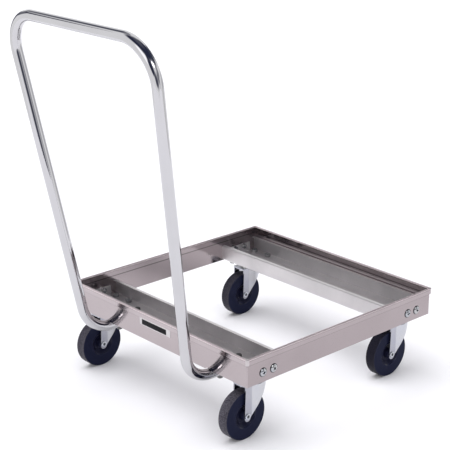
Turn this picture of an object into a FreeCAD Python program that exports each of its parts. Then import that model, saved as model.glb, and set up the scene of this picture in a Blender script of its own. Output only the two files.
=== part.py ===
# Dish rack dolly: an open tray frame of hemmed sheet steel on four swivel casters, with a bent push handle.
# Millimetres. +Z is up, the floor is z = 0, the handle stands on the -Y side and the origin is on the floor
# under the middle of the whole dolly.
import FreeCAD, Part
import Sketcher
import itertools
import math
import os
from types import SimpleNamespace

from FreeCAD import Placement, Rotation, Vector

# Driving dimensions: name, value, what it measures
SIZES = [
    ("rim_width", 546.0, "tray outside its hem, side to side"),
    ("rim_depth", 540.0, "tray outside its hem, front to back"),
    ("wall_height", 60.0, "tray wall, bottom edge to rim"),
    ("wall_overlap", 2.2, "how far the walls hang below the channels"),
    ("wall_sheet", 1.5, "thickness of the wall sheet"),
    ("hem_drop", 13.0, "height of the folded hem"),
    ("hem_gap", 2.0, "space inside the folded hem"),
    ("weld_size", 5.5, "length of the ground weld at each hem corner"),
    ("weld_round", 3.0, "rounding of the ground weld"),
    ("seat_depth", 24.0, "seat of the load below the rim"),
    ("channel_width", 106.0, "cross channel, outside its flanges"),
    ("channel_clear", 1.0, "cross channel to the front or rear wall"),
    ("channel_sheet", 2.0, "thickness of the channel sheet"),
    ("channel_lip", 9.0, "turned-in lip of the channel"),
    ("channel_bend", 3.0, "outside radius of the channel's folds"),
    ("tab_width", 70.0, "tab folded up at each end of a channel"),
    ("tab_height", 24.0, "height of that tab above the channel's underside"),
    ("screw_pitch", 28.0, "spacing of the two screws at a channel end"),
    ("screw_rise", 20.5, "screws above the bottom edge of the wall"),
    ("screw_shank", 6.3, "shank of the wall screws and handle bolts"),
    ("screw_head", 19.0, "domed head of a wall screw"),
    ("screw_dome", 4.0, "height of that domed head"),
    ("small_flats", 11.1, "quarter-inch nuts and bolt heads, across flats"),
    ("small_nut", 5.6, "height of a quarter-inch nut"),
    ("small_head", 4.3, "height of a quarter-inch bolt head"),
    ("large_shank", 7.9, "shank of the plate bolts and axle rivets"),
    ("large_flats", 12.7, "their nuts and heads, across flats"),
    ("large_nut", 6.8, "height of their nuts"),
    ("large_head", 5.3, "height of their heads"),
    ("thread_end", 1.6, "bolt end that stands out of its nut"),
    ("hole_clear", 0.4, "bolt holes, radial clearance"),
    ("thread_clear", 0.05, "nuts on their bolts, radial clearance"),
    ("tube_od", 22.2, "handle tube, outside"),
    ("tube_wall", 1.6, "wall of the handle tube"),
    ("handle_height", 810.0, "top of the handle above the floor"),
    ("handle_setback", 47.6, "foot of the handle's legs in front of the rim"),
    ("handle_lean", 118.8, "how far the legs lean out from foot to grip"),
    ("grip_spread", 435.6, "leg centres at the grip"),
    ("foot_spread", 319.8, "leg centres at the foot"),
    ("grip_bend", 76.2, "centre-line radius of the grip bends"),
    ("foot_bend", 66.7, "centre-line radius of the foot bends"),
    ("foot_inset", 6.0, "cut tube end in from the channel's back edge"),
    ("foot_edge", 22.0, "cut tube end to the nearer bolt"),
    ("foot_pitch", 50.0, "spacing of the two bolts in a foot"),
    ("notch_clear", 1.5, "front wall's notches round the tube, radial clearance"),
    ("caster_inset_x", 45.0, "kingpins in from the sides of the rim"),
    ("caster_trail", 30.5, "axle behind the kingpin"),
    ("wheel_diameter", 101.6, "wheel"),
    ("wheel_width", 23.8, "tyre"),
    ("tyre_shoulder", 1.5, "rounding of the tyre's edges"),
    ("tyre_bevel", 1.4, "bevel at the inner edge of the tyre's side"),
    ("bond_gap", 0.05, "tyre on its core, radial"),
    ("core_radius", 25.0, "outside of the wheel core"),
    ("core_recess", 17.0, "bottom of the recess in each side of the core, radius"),
    ("core_slope", 7.2, "how much wider that recess is at its mouth, radius"),
    ("core_width", 21.0, "core at its rim"),
    ("core_web", 8.0, "core between the two recesses"),
    ("core_draft", 1.0, "draft of the hub"),
    ("hub_radius", 10.0, "hub of the core"),
    ("hub_play", 0.3, "hub to fork, each side"),
    ("bushing_od", 11.1, "bushing that the wheel turns on"),
    ("bushing_clear", 0.05, "wheel on its bushing, radial"),
    ("axle_clear", 0.1, "axle rivet in its bushing and fork, radial"),
    ("rivet_head", 12.6, "rolled head at each end of an axle rivet"),
    ("rivet_height", 2.2, "height of that head"),
    ("rivet_bevel", 0.8, "bevel of that head"),
    ("rivet_hollow", 3.0, "radius of the hollow in that head"),
    ("rivet_depth", 2.0, "depth of the hollow in that head"),
    ("tyre_clear", 3.1, "tyre to fork, each side"),
    ("fork_sheet", 2.5, "thickness of the fork"),
    ("fork_end", 7.5, "radius of the fork's round ends"),
    ("fork_drop", 3.4, "centre of those ends below the axle"),
    ("fork_tilt", 2.0, "slope of the fork's front edge, degrees from upright"),
    ("fork_rake", 29.5, "slope of the fork's back edge, degrees from upright"),
    ("fork_flare", 24.0, "fold of the fork's cheeks behind the flat, degrees"),
    ("fork_hood", 24.6, "radius of the fork's round back"),
    ("fork_skirt", 2.0, "edge that hangs below the crown at the back"),
    ("fork_nose", 47.0, "radius of the crown's front edge"),
    ("crown_bend", 3.5, "rounding where the crown folds into the cheeks"),
    ("crown_gap", 13.3, "wheel to crown"),
    ("race_height", 10.0, "crown to top plate"),
    ("race_split", 2.0, "gap between the two ball races"),
    ("race_wide", 4.5, "race outside the ball circle"),
    ("race_inner", 5.0, "race inside the ball circle"),
    ("ball_circle", 16.5, "radius of the ring of balls"),
    ("ball_diameter", 6.35, "load balls"),
    ("ball_count", 14.0, "load balls in a caster"),
    ("ball_clear", 0.3, "balls to their races"),
    ("seal_clear", 0.6, "dust skirt to lower race"),
    ("seal_sheet", 2.5, "thickness of the dust skirt"),
    ("seal_lift", 1.6, "dust skirt above the crown"),
    ("plate_long", 92.0, "caster top plate, front to back"),
    ("plate_wide", 60.0, "caster top plate, side to side"),
    ("plate_thick", 2.8, "thickness of the top plate"),
    ("plate_corner", 8.0, "corner radius of the top plate"),
    ("plate_pitch_long", 73.0, "plate bolts, front to back"),
    ("plate_pitch_wide", 44.5, "plate bolts, side to side"),
    ("pin_radius", 5.0, "kingpin shank"),
    ("pin_head", 8.0, "radius of the kingpin's head and riveted end"),
    ("pin_head_height", 4.0, "height of the kingpin's head"),
    ("pin_rivet", 2.0, "height of the kingpin's riveted end"),
    ("pin_clear", 0.06, "kingpin in the fork, washer and plate, radial"),
    ("pin_hole_clear", 2.0, "channel hole round the riveted end, radial"),
    ("washer_radius", 13.0, "thrust washer under the crown"),
    ("washer_thick", 3.7, "thickness of the thrust washer"),
    ("swivel_gap", 0.3, "thrust washer to crown"),
]

SKETCH_ORIGIN = -1
CUT_MARGIN = 10.0
SAME_PLACE = 0.01


class Size:
    """A number that remembers the spreadsheet formula it comes from."""

    def __init__(self, number, formula):
        self.number = float(number)
        self.formula = formula

    def __add__(self, other):
        other = as_size(other)
        return Size(self.number + other.number, f"({self.formula} + {other.formula})")

    def __sub__(self, other):
        other = as_size(other)
        return Size(self.number - other.number, f"({self.formula} - {other.formula})")

    def __mul__(self, other):
        other = as_size(other)
        return Size(self.number * other.number, f"({self.formula} * {other.formula})")

    def __truediv__(self, other):
        other = as_size(other)
        return Size(self.number / other.number, f"({self.formula} / {other.formula})")

    def __neg__(self):
        return Size(-self.number, f"(-1 * {self.formula})")


def as_size(value):
    return value if isinstance(value, Size) else Size(value, repr(float(value)))


def sine(angle):
    return Size(math.sin(math.radians(angle.number)), f"sin({angle.formula})")


def cosine(angle):
    return Size(math.cos(math.radians(angle.number)), f"cos({angle.formula})")


def root(value):
    return Size(math.sqrt(value.number), f"sqrt({value.formula})")


def arc_sine(value):
    return Size(math.degrees(math.asin(value.number)), f"asin({value.formula})")


doc = FreeCAD.newDocument("dish_rack_dolly")
sheet = doc.addObject("Spreadsheet::Sheet", "Sizes")
for row, (alias, value, meaning) in enumerate(SIZES, start=1):
    sheet.set(f"A{row}", meaning)
    sheet.set(f"B{row}", str(value))
    sheet.setAlias(f"B{row}", alias)
doc.recompute()
S = SimpleNamespace(**{alias: Size(sheet.get(alias), f"Sizes.{alias}") for alias, _, _ in SIZES})

ZERO = as_size(0.0)
pieces = []


def bind(feature, prop, value):
    """Tie one property of a feature to the spreadsheet."""
    feature.setExpression(prop, as_size(value).formula)


def place(feature, x, y, z, rotation=Rotation()):
    """Put a feature at a point worked out from the spreadsheet."""
    feature.Placement = Placement(Vector(), rotation)
    for axis, value in zip("xyz", (x, y, z)):
        bind(feature, f"Placement.Base.{axis}", value)
    return feature


def keep(feature, label):
    """Name a finished sub-part and put it on the list of pieces to write."""
    feature.Label = label
    pieces.append(feature)
    return feature


def new_body(name):
    return doc.addObject("PartDesign::Body", name)


def sketch_on(body, role, lift=ZERO):
    """Start a sketch on one of a body's own origin planes, lifted along the plane's normal."""
    plane = next(feature for feature in body.Origin.OriginFeatures if feature.Role == role)
    sketch = body.newObject("Sketcher::SketchObject", "Sketch")
    sketch.AttachmentSupport = [(plane, "")]
    sketch.MapMode = "FlatFace"
    bind(sketch, "AttachmentOffset.Base.z", lift)
    return sketch


def fix(sketch, constraint, value):
    """Add a dimension to a sketch and tie it to the spreadsheet."""
    index = sketch.addConstraint(constraint)
    sketch.setExpression(f"Constraints[{index}]", value.formula)


def arc_between(start, end, radius, turn):
    """The shorter arc from start to end: turn is 1 for a left-hand bend and -1 for a right-hand one."""
    chord = end - start
    left = Vector(-chord.y, chord.x, 0).normalize()
    rise = math.sqrt(max(radius ** 2 - (chord.Length / 2) ** 2, 0.0))
    centre = (start + end) * 0.5 + left * (rise * turn)
    low, high = (start, end) if turn > 0 else (end, start)
    begin = math.atan2(low.y - centre.y, low.x - centre.x)
    finish = math.atan2(high.y - centre.y, high.x - centre.x)
    if finish < begin:
        finish += 2 * math.pi
    return Part.ArcOfCircle(Part.Circle(centre, Vector(0, 0, 1), radius), begin, finish)


def draw_loop(sketch, corners):
    """Draw a closed outline. A corner (x, y) has a straight edge to the next corner, and a corner
    (x, y, radius, turn) has an arc."""
    corners = [(as_size(corner[0]), as_size(corner[1]), *corner[2:]) for corner in corners]
    first = sketch.GeometryCount
    ends = []
    for corner, following in zip(corners, corners[1:] + corners[:1]):
        start = Vector(corner[0].number, corner[1].number, 0)
        end = Vector(following[0].number, following[1].number, 0)
        if len(corner) == 2:
            sketch.addGeometry(Part.LineSegment(start, end))
            ends.append((1, 2))
        else:
            sketch.addGeometry(arc_between(start, end, corner[2].number, corner[3]))
            ends.append((1, 2) if corner[3] > 0 else (2, 1))
    for index, (_, finish) in enumerate(ends):
        after = (index + 1) % len(ends)
        sketch.addConstraint(
            Sketcher.Constraint("Coincident", first + index, finish, first + after, ends[after][0]))
    for index, corner in enumerate(corners):
        for kind, value in zip(("DistanceX", "DistanceY"), corner):
            fix(sketch, Sketcher.Constraint(
                kind, SKETCH_ORIGIN, 1, first + index, ends[index][0], value.number), value)
        if len(corner) > 2:
            fix(sketch, Sketcher.Constraint("Radius", first + index, corner[2].number), corner[2])


def draw_circle(sketch, x, y, radius):
    x, y = as_size(x), as_size(y)
    index = sketch.addGeometry(Part.Circle(Vector(x.number, y.number, 0), Vector(0, 0, 1), radius.number))
    for kind, value in (("DistanceX", x), ("DistanceY", y)):
        fix(sketch, Sketcher.Constraint(kind, SKETCH_ORIGIN, 1, index, 3, value.number), value)
    fix(sketch, Sketcher.Constraint("Radius", index, radius.number), radius)


def pad(body, sketch, length, side="One side", backwards=False):
    feature = body.newObject("PartDesign::Pad", "Pad")
    feature.Profile = sketch
    feature.SideType = side
    feature.Reversed = backwards
    bind(feature, "Length", length)
    return feature


def revolve(body, sketch, axis):
    feature = body.newObject("PartDesign::Revolution", "Revolution")
    feature.Profile = sketch
    feature.ReferenceAxis = (sketch, [axis])
    feature.Angle = 360.0
    return feature


def pocket(body, sketch, depth=None, side="One side"):
    """Cut a sketch into a body, through all or to a depth, and see that something was cut."""
    doc.recompute()
    before = body.Shape.Volume
    feature = body.newObject("PartDesign::Pocket", "Pocket")
    feature.Profile = sketch
    feature.SideType = side
    if depth is None:
        feature.Type = "ThroughAll"
    else:
        bind(feature, "Length", depth)
    doc.recompute()
    if not body.Shape.Volume < before:
        raise RuntimeError(f"{body.Name}: the pocket cut nothing")
    return feature


def fillet(body, radius, wanted):
    """Round the edges of a body's last feature that the test picks by their middle points."""
    doc.recompute()
    base = body.Tip
    names = []
    for number, edge in enumerate(base.Shape.Edges, start=1):
        middle = edge.valueAt((edge.FirstParameter + edge.LastParameter) / 2)
        if wanted(middle):
            names.append(f"Edge{number}")
    feature = body.newObject("PartDesign::Fillet", "Fillet")
    feature.Base = (base, names)
    bind(feature, "Radius", radius)
    return feature


def cylinder(radius, height, x=ZERO, y=ZERO, z=ZERO):
    feature = doc.addObject("Part::Cylinder", "Cylinder")
    bind(feature, "Radius", radius)
    bind(feature, "Height", height)
    return place(feature, x, y, z)


def hexagon(flats, height, z=ZERO):
    feature = doc.addObject("Part::Prism", "Prism")
    feature.Polygon = 6
    bind(feature, "Circumradius", flats / math.sqrt(3.0))
    bind(feature, "Height", height)
    return place(feature, ZERO, ZERO, z)


def fuse(*features):
    joined = doc.addObject("Part::MultiFuse", "Fusion")
    joined.Shapes = list(features)
    return joined


def cut(base, tool):
    feature = doc.addObject("Part::Cut", "Cut")
    feature.Base = base
    feature.Tool = tool
    return feature


def group(features, label):
    compound = doc.addObject("Part::Compound", "Group")
    compound.Links = list(features)
    return keep(compound, label)


def hex_bolt(shank, flats, head, length):
    """A bolt along Z: its head stands on z = 0 and its shank hangs below."""
    return fuse(hexagon(flats, head), cylinder(shank / 2, length, z=-length))


def hex_nut(shank, flats, height):
    """A nut along Z that stands on z = 0."""
    return cut(hexagon(flats, height), cylinder(shank / 2 + S.thread_clear, height))


def close_to(value, size):
    return abs(value - size.number) < SAME_PLACE


# Heights above the floor, from the wheels up
axle_z = S.wheel_diameter / 2
crown_under = S.wheel_diameter + S.crown_gap
crown_top = crown_under + S.fork_sheet
ball_z = crown_top + S.race_height / 2
plate_under = crown_top + S.race_height
channel_under = plate_under + S.plate_thick
web_top = channel_under + S.channel_sheet
wall_under = channel_under - S.wall_overlap
rim_top = wall_under + S.wall_height
seat_z = rim_top - S.seat_depth
screw_z = wall_under + S.screw_rise
foot_z = channel_under - S.tube_od / 2
grip_z = S.handle_height - S.tube_od / 2

# Places in plan: the tray's middle lies behind the origin because the handle reaches out in front
hem_proud = S.hem_gap + S.wall_sheet
tray_y = (S.handle_setback + S.handle_lean + S.tube_od / 2) / 2
side_face = S.rim_width / 2 - hem_proud
end_face = S.rim_depth / 2 - hem_proud
kingpin_x = S.rim_width / 2 - S.caster_inset_x
kingpin_y = end_face - S.wall_sheet - S.channel_clear - S.channel_width / 2
foot_x = S.foot_spread / 2
foot_end_y = tray_y - kingpin_y + S.channel_width / 2 - S.foot_inset
foot_rows = (foot_end_y - S.foot_edge, foot_end_y - S.foot_edge - S.foot_pitch)
foot_bolts = [(foot_x * way, row_y) for way in (1, -1) for row_y in foot_rows]

TURN_TO_PLUS_X = Rotation(Vector(0, 1, 0), 90)
TURN_TO_MINUS_X = Rotation(Vector(0, 1, 0), -90)
UPSIDE_DOWN = Rotation(Vector(1, 0, 0), 180)

# Tray walls: strips of sheet with the top edge folded outwards and down into an open hem. The hem stops
# short of each corner, and the strips meet on the mitre there.


def tray_wall(label, half_length, face, heading):
    """A wall along X with its outer face at y = -face, turned about Z to its side of the tray."""
    body = new_body(label)
    fold = S.hem_gap / 2
    bend = fold + S.wall_sheet
    fold_z = rim_top - bend
    inside, middle = S.wall_sheet - face, -(face + fold)
    leaf, outside = -(face + S.hem_gap), -(face + hem_proud)
    section = sketch_on(body, "YZ_Plane")
    draw_loop(section, [
        (inside, wall_under),
        (inside, fold_z, bend, 1),
        (middle, rim_top, bend, 1),
        (outside, fold_z),
        (outside, rim_top - S.hem_drop),
        (leaf, rim_top - S.hem_drop),
        (leaf, fold_z, fold, -1),
        (middle, fold_z + fold, fold, -1),
        (-face, fold_z),
        (-face, wall_under),
    ])
    pad(body, section, half_length * 2, side="Symmetric")
    corners = sketch_on(body, "XY_Plane")
    depth = hem_proud + CUT_MARGIN
    for way in (1, -1):
        draw_loop(corners, [
            ((half_length - S.weld_size) * way, outside - CUT_MARGIN),
            ((half_length + CUT_MARGIN) * way, outside - CUT_MARGIN),
            ((half_length + CUT_MARGIN) * way, outside + depth),
            ((half_length - depth) * way, outside + depth),
            ((half_length - hem_proud) * way, -face),
            ((half_length - S.weld_size) * way, -face),
        ])
    pocket(body, corners, side="Symmetric")
    place(body, ZERO, tray_y, ZERO, Rotation(Vector(0, 0, 1), heading))
    return keep(body, label)


front_wall = tray_wall("front_wall", S.rim_width / 2, end_face, 0)
right_wall = tray_wall("right_wall", S.rim_depth / 2, side_face, 90)
tray_wall("rear_wall", S.rim_width / 2, end_face, 180)
left_wall = tray_wall("left_wall", S.rim_depth / 2, side_face, 270)

notches = sketch_on(front_wall, "XZ_Plane")
for way in (1, -1):
    draw_circle(notches, foot_x * way, foot_z, S.tube_od / 2 + S.notch_clear)
pocket(front_wall, notches, side="Symmetric")

for side_wall in (right_wall, left_wall):
    holes = sketch_on(side_wall, "XZ_Plane")
    for end in (1, -1):
        for way in (1, -1):
            along = (kingpin_y + S.screw_pitch / 2 * way) * end
            draw_circle(holes, along, screw_z, S.screw_shank / 2 + S.hole_clear)
    pocket(side_wall, holes, side="Symmetric")

# Corner welds: a bead at each corner closes the hem, ground flush with the rim and rounded


def corner_weld(x_way, y_way):
    """The bead at one corner, an L that wraps the meeting wall faces."""
    body = new_body("corner_weld")
    plan = sketch_on(body, "XY_Plane", rim_top - S.hem_drop)
    rim_x, rim_y = S.rim_width / 2, S.rim_depth / 2
    corners = [
        (rim_x - S.weld_size, rim_y),
        (rim_x - S.weld_size, rim_y - hem_proud),
        (rim_x - hem_proud, rim_y - hem_proud),
        (rim_x - hem_proud, rim_y - S.weld_size),
        (rim_x, rim_y - S.weld_size),
        (rim_x, rim_y - S.weld_round, S.weld_round, x_way * y_way),
        (rim_x - S.weld_round, rim_y),
    ]
    draw_loop(plan, [(x * x_way, y * y_way, *arc) for x, y, *arc in corners])
    pad(body, plan, S.hem_drop)
    inner_x, inner_y = rim_x - hem_proud, rim_y - hem_proud
    fillet(body, S.weld_round / 2, lambda middle: close_to(middle.z, rim_top) and (
        close_to(abs(middle.x), rim_x) or close_to(abs(middle.y), rim_y)
        or min(abs(middle.x) - inner_x.number, abs(middle.y) - inner_y.number) > SAME_PLACE))
    return place(body, ZERO, tray_y, ZERO)


group([corner_weld(x_way, y_way) for x_way in (1, -1) for y_way in (1, -1)], "corner_welds")

# Cross channels: lipped channels between the side walls, with a tab folded up at each end for the screws.
# The casters and the handle bolt under them, and the load stands on their lips.


def cross_channel(label, way, carries_handle):
    body = new_body(label)
    half, sheet, lip = S.channel_width / 2, S.channel_sheet, S.channel_lip
    reach = side_face - S.wall_sheet
    section = sketch_on(body, "YZ_Plane")
    draw_loop(section, [
        (-half, channel_under), (half, channel_under), (half, seat_z), (half - lip, seat_z),
        (half - lip, seat_z - sheet), (half - sheet, seat_z - sheet), (half - sheet, web_top),
        (sheet - half, web_top), (sheet - half, seat_z - sheet), (lip - half, seat_z - sheet),
        (lip - half, seat_z), (-half, seat_z),
    ])
    pad(body, section, reach * 2, side="Symmetric")
    fillet(body, S.channel_bend, lambda middle: close_to(abs(middle.y), half) and (
        close_to(middle.z, channel_under) or close_to(middle.z, seat_z)) and close_to(middle.x, ZERO))
    for end in (1, -1):
        tab = sketch_on(body, "YZ_Plane", reach * end)
        tab_top = channel_under + S.tab_height
        draw_loop(tab, [
            (-S.tab_width / 2, channel_under), (S.tab_width / 2, channel_under),
            (S.tab_width / 2, tab_top), (-S.tab_width / 2, tab_top),
        ])
        pad(body, tab, sheet, backwards=end > 0)
    screws = sketch_on(body, "YZ_Plane")
    for side in (1, -1):
        draw_circle(screws, S.screw_pitch / 2 * side, screw_z, S.screw_shank / 2 + S.hole_clear)
    pocket(body, screws, side="Symmetric")
    web = sketch_on(body, "XY_Plane", web_top)
    for x_way in (1, -1):
        draw_circle(web, kingpin_x * x_way, ZERO, S.pin_head + S.pin_hole_clear)
        for along in (1, -1):
            for across in (1, -1):
                draw_circle(web, kingpin_x * x_way + S.plate_pitch_wide / 2 * along,
                            S.plate_pitch_long / 2 * across, S.large_shank / 2 + S.hole_clear)
    if carries_handle:
        for x, y in foot_bolts:
            draw_circle(web, x, y - tray_y + kingpin_y, S.screw_shank / 2 + S.hole_clear)
    pocket(body, web, sheet)
    place(body, ZERO, tray_y + kingpin_y * way, ZERO)
    return keep(body, label)


cross_channel("front_channel", -1, True)
cross_channel("rear_channel", 1, False)

# Wall screws: domed-head screws from outside through the side wall and the channel's tab, with nuts inside


def wall_screw():
    """A screw along Z: its domed head stands on z = 0 and its shank hangs below."""
    rim = S.screw_head / 2
    ball = (rim * rim + S.screw_dome * S.screw_dome) / (S.screw_dome * 2)
    dome = doc.addObject("Part::Sphere", "Dome")
    bind(dome, "Radius", ball)
    bind(dome, "Angle1", arc_sine((ball - S.screw_dome) / ball))
    place(dome, ZERO, ZERO, S.screw_dome - ball)
    length = S.wall_sheet + S.channel_sheet + S.small_nut + S.thread_end
    return fuse(dome, cylinder(S.screw_shank / 2, length, z=-length))


wall_screws = []
wall_nuts = []
for x_way, turn, back in ((1, TURN_TO_PLUS_X, TURN_TO_MINUS_X), (-1, TURN_TO_MINUS_X, TURN_TO_PLUS_X)):
    tab_face = (side_face - S.wall_sheet - S.channel_sheet) * x_way
    for y_way in (1, -1):
        for side in (1, -1):
            y = tray_y + kingpin_y * y_way + S.screw_pitch / 2 * side
            wall_screws.append(place(wall_screw(), side_face * x_way, y, screw_z, turn))
            nut = hex_nut(S.screw_shank, S.small_flats, S.small_nut)
            wall_nuts.append(place(nut, tab_face, y, screw_z, back))
group(wall_screws, "channel_screws")
group(wall_nuts, "channel_nuts")

# Push handle: one tube, bent at both ends of the grip and forwards under the tray at the foot of each leg


def bend_round(before, corner, after, radius):
    """Start, middle and end of the arc that rounds the corner between two straight runs."""
    back = (before - corner).normalize()
    ahead = (after - corner).normalize()
    half_angle = back.getAngle(ahead) / 2
    start = corner + back * (radius / math.tan(half_angle))
    end = corner + ahead * (radius / math.tan(half_angle))
    inwards = (back + ahead).normalize()
    middle = corner + inwards * (radius / math.sin(half_angle) - radius)
    return start, middle, end


def handle_route():
    """The tube's centre line from one cut end to the other: the bends' corners joined by tangent arcs."""
    foot_corner_y = tray_y - S.rim_depth / 2 - S.handle_setback
    grip_y = foot_corner_y - S.handle_lean
    half = [
        (foot_x, foot_end_y, foot_z, None),
        (foot_x, foot_corner_y, foot_z, S.foot_bend),
        (S.grip_spread / 2, grip_y, grip_z, S.grip_bend),
    ]
    route = half + [(-x, y, z, bend) for x, y, z, bend in reversed(half)]
    points = [Vector(x.number, y.number, z.number) for x, y, z, _ in route]
    edges = []
    last = points[0]
    for index in range(1, len(route) - 1):
        start, middle, end = bend_round(*points[index - 1:index + 2], route[index][3].number)
        edges.append(Part.LineSegment(last, start).toShape())
        edges.append(Part.Arc(start, middle, end).toShape())
        last = end
    edges.append(Part.LineSegment(last, points[-1]).toShape())
    return Part.Wire(edges), route[0]


route_wire, route_start = handle_route()
handle_path = doc.addObject("Part::Feature", "handle_path")
handle_path.Shape = route_wire


def along_handle(radius):
    """A round bar along the handle's centre line."""
    ring = doc.addObject("Part::Circle", "Ring")
    bind(ring, "Radius", radius)
    place(ring, *route_start[:3], Rotation(Vector(1, 0, 0), 90))
    sweep = doc.addObject("Part::Sweep", "Bar")
    sweep.Sections = [ring]
    sweep.Spine = (handle_path, [f"Edge{number}" for number in range(1, len(route_wire.Edges) + 1)])
    sweep.Solid = True
    return sweep


bolt_holes = fuse(*[cylinder(S.screw_shank / 2 + S.hole_clear, S.tube_od, x, y, channel_under - S.tube_od)
                    for x, y in foot_bolts])
tube = cut(along_handle(S.tube_od / 2), along_handle(S.tube_od / 2 - S.tube_wall))
keep(cut(tube, bolt_holes), "handle_tube")

foot_bolt_length = S.channel_sheet + S.tube_od + S.small_nut + S.thread_end
group([place(hex_bolt(S.screw_shank, S.small_flats, S.small_head, foot_bolt_length), x, y, web_top)
       for x, y in foot_bolts], "handle_bolts")
foot_under = channel_under - S.tube_od
group([place(hex_nut(S.screw_shank, S.small_flats, S.small_nut), x, y, foot_under, UPSIDE_DOWN)
       for x, y in foot_bolts], "handle_nuts")

# Casters: a top plate with the upper ball race, a stamped fork that turns on the kingpin, and a rubber-tyred
# wheel on a bushing clamped between the fork's cheeks. Each is drawn about its own kingpin.
cheek = S.wheel_width / 2 + S.tyre_clear + S.fork_sheet
fork_front = S.caster_trail + S.fork_end
groove = S.ball_diameter / 2 + S.ball_clear
groove_half = root(groove * groove - S.race_split * S.race_split / 4)
race_in = S.ball_circle - S.race_inner
race_out = S.ball_circle + S.race_wide
lower_race = ball_z - S.race_split / 2
upper_race = ball_z + S.race_split / 2


def hood(cheek_x, back, front):
    """Right half of the fork in plan, from the front of the cheek to the middle of the round back: a flat
    by the axle, a fold, and a flared cheek that runs smoothly into the back."""
    side, ahead = cosine(S.fork_flare), sine(S.fork_flare)
    fold_y = -(back * ahead) - (back * side - cheek_x) * side / ahead
    return [
        (cheek_x, front),
        (cheek_x, fold_y),
        (back * side, -(back * ahead), back, 1),
        (ZERO, back, back, 1),
    ]


def mirrored(half):
    """The left half of a hood outline, from its round back to its front."""
    front, fold, shoulder, _ = half
    return [(-shoulder[0], shoulder[1]), (-fold[0], fold[1]), (-front[0], front[1])]


def fork(label):
    body = new_body(label)
    end_z = axle_z - S.fork_drop
    foot = end_z - S.fork_end
    outer = hood(cheek, S.fork_hood, -fork_front)
    outline = outer + mirrored(outer)
    outline[-1] = (*outline[-1], S.fork_nose, 1)
    plan = sketch_on(body, "XY_Plane", foot)
    draw_loop(plan, outline)
    pad(body, plan, crown_top - foot)
    hollow = sketch_on(body, "XY_Plane", crown_under)
    inner = hood(cheek - S.fork_sheet, S.fork_hood - S.fork_sheet, -(fork_front + CUT_MARGIN))
    draw_loop(hollow, inner + mirrored(inner))
    pocket(body, hollow)
    fillet(body, S.crown_bend, lambda middle: close_to(middle.z, crown_top)
           and middle.y > SAME_PLACE - fork_front.number)
    toe_y = -(S.fork_end * cosine(S.fork_tilt) + S.caster_trail)
    toe_z = end_z + S.fork_end * sine(S.fork_tilt)
    brow_y = toe_y + (crown_under - toe_z) * sine(S.fork_tilt) / cosine(S.fork_tilt)
    heel_y = S.fork_end * cosine(S.fork_rake) - S.caster_trail
    heel_z = end_z - S.fork_end * sine(S.fork_rake)
    skirt_z = crown_under - S.fork_skirt
    skirt_y = heel_y + (skirt_z - heel_z) * sine(S.fork_rake) / cosine(S.fork_rake)
    side = sketch_on(body, "YZ_Plane")
    draw_loop(side, [
        (-(fork_front + CUT_MARGIN), crown_under),
        (brow_y, crown_under),
        (toe_y, toe_z, S.fork_end, 1),
        (-S.caster_trail, foot, S.fork_end, 1),
        (heel_y, heel_z),
        (skirt_y, skirt_z),
        (S.fork_hood + CUT_MARGIN, skirt_z),
        (S.fork_hood + CUT_MARGIN, foot - CUT_MARGIN),
        (-(fork_front + CUT_MARGIN), foot - CUT_MARGIN),
    ])
    pocket(body, side, side="Symmetric")
    race = sketch_on(body, "XZ_Plane")
    draw_loop(race, [
        (race_in, crown_top), (race_out, crown_top), (race_out, lower_race),
        (S.ball_circle + groove_half, lower_race, groove, -1),
        (S.ball_circle, ball_z - groove, groove, -1),
        (S.ball_circle - groove_half, lower_race), (race_in, lower_race),
    ])
    revolve(body, race, "V_Axis")
    pin_hole = sketch_on(body, "XY_Plane", ball_z)
    draw_circle(pin_hole, ZERO, ZERO, S.pin_radius + S.pin_clear)
    pocket(body, pin_hole)
    axle_hole = sketch_on(body, "YZ_Plane")
    draw_circle(axle_hole, -S.caster_trail, axle_z, S.large_shank / 2 + S.axle_clear)
    pocket(body, axle_hole, side="Symmetric")
    return body


def top_plate(label):
    body = new_body(label)
    half_x, half_y, corner = S.plate_wide / 2, S.plate_long / 2, S.plate_corner
    plan = sketch_on(body, "XY_Plane", plate_under)
    draw_loop(plan, [
        (corner - half_x, -half_y), (half_x - corner, -half_y, corner, 1),
        (half_x, corner - half_y), (half_x, half_y - corner, corner, 1),
        (half_x - corner, half_y), (corner - half_x, half_y, corner, 1),
        (-half_x, half_y - corner), (-half_x, corner - half_y, corner, 1),
    ])
    pad(body, plan, S.plate_thick)
    seal_in = race_out + S.seal_clear
    seal_out = seal_in + S.seal_sheet
    race = sketch_on(body, "XZ_Plane")
    draw_loop(race, [
        (race_in, plate_under), (race_in, upper_race),
        (S.ball_circle - groove_half, upper_race, groove, -1),
        (S.ball_circle, ball_z + groove, groove, -1),
        (S.ball_circle + groove_half, upper_race), (seal_in, upper_race),
        (seal_in, crown_top + S.seal_lift), (seal_out, crown_top + S.seal_lift), (seal_out, plate_under),
    ])
    revolve(body, race, "V_Axis")
    holes = sketch_on(body, "XY_Plane", channel_under)
    draw_circle(holes, ZERO, ZERO, S.pin_radius + S.pin_clear)
    for x_way in (1, -1):
        for y_way in (1, -1):
            draw_circle(holes, S.plate_pitch_wide / 2 * x_way, S.plate_pitch_long / 2 * y_way,
                        S.large_shank / 2 + S.hole_clear)
    pocket(body, holes)
    return body


def turned(label, plane, outline, axis):
    """A piece turned about the upright axis or the sketch's level one."""
    body = new_body(label)
    sketch = sketch_on(body, plane)
    draw_loop(sketch, outline)
    revolve(body, sketch, axis)
    return body


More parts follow.
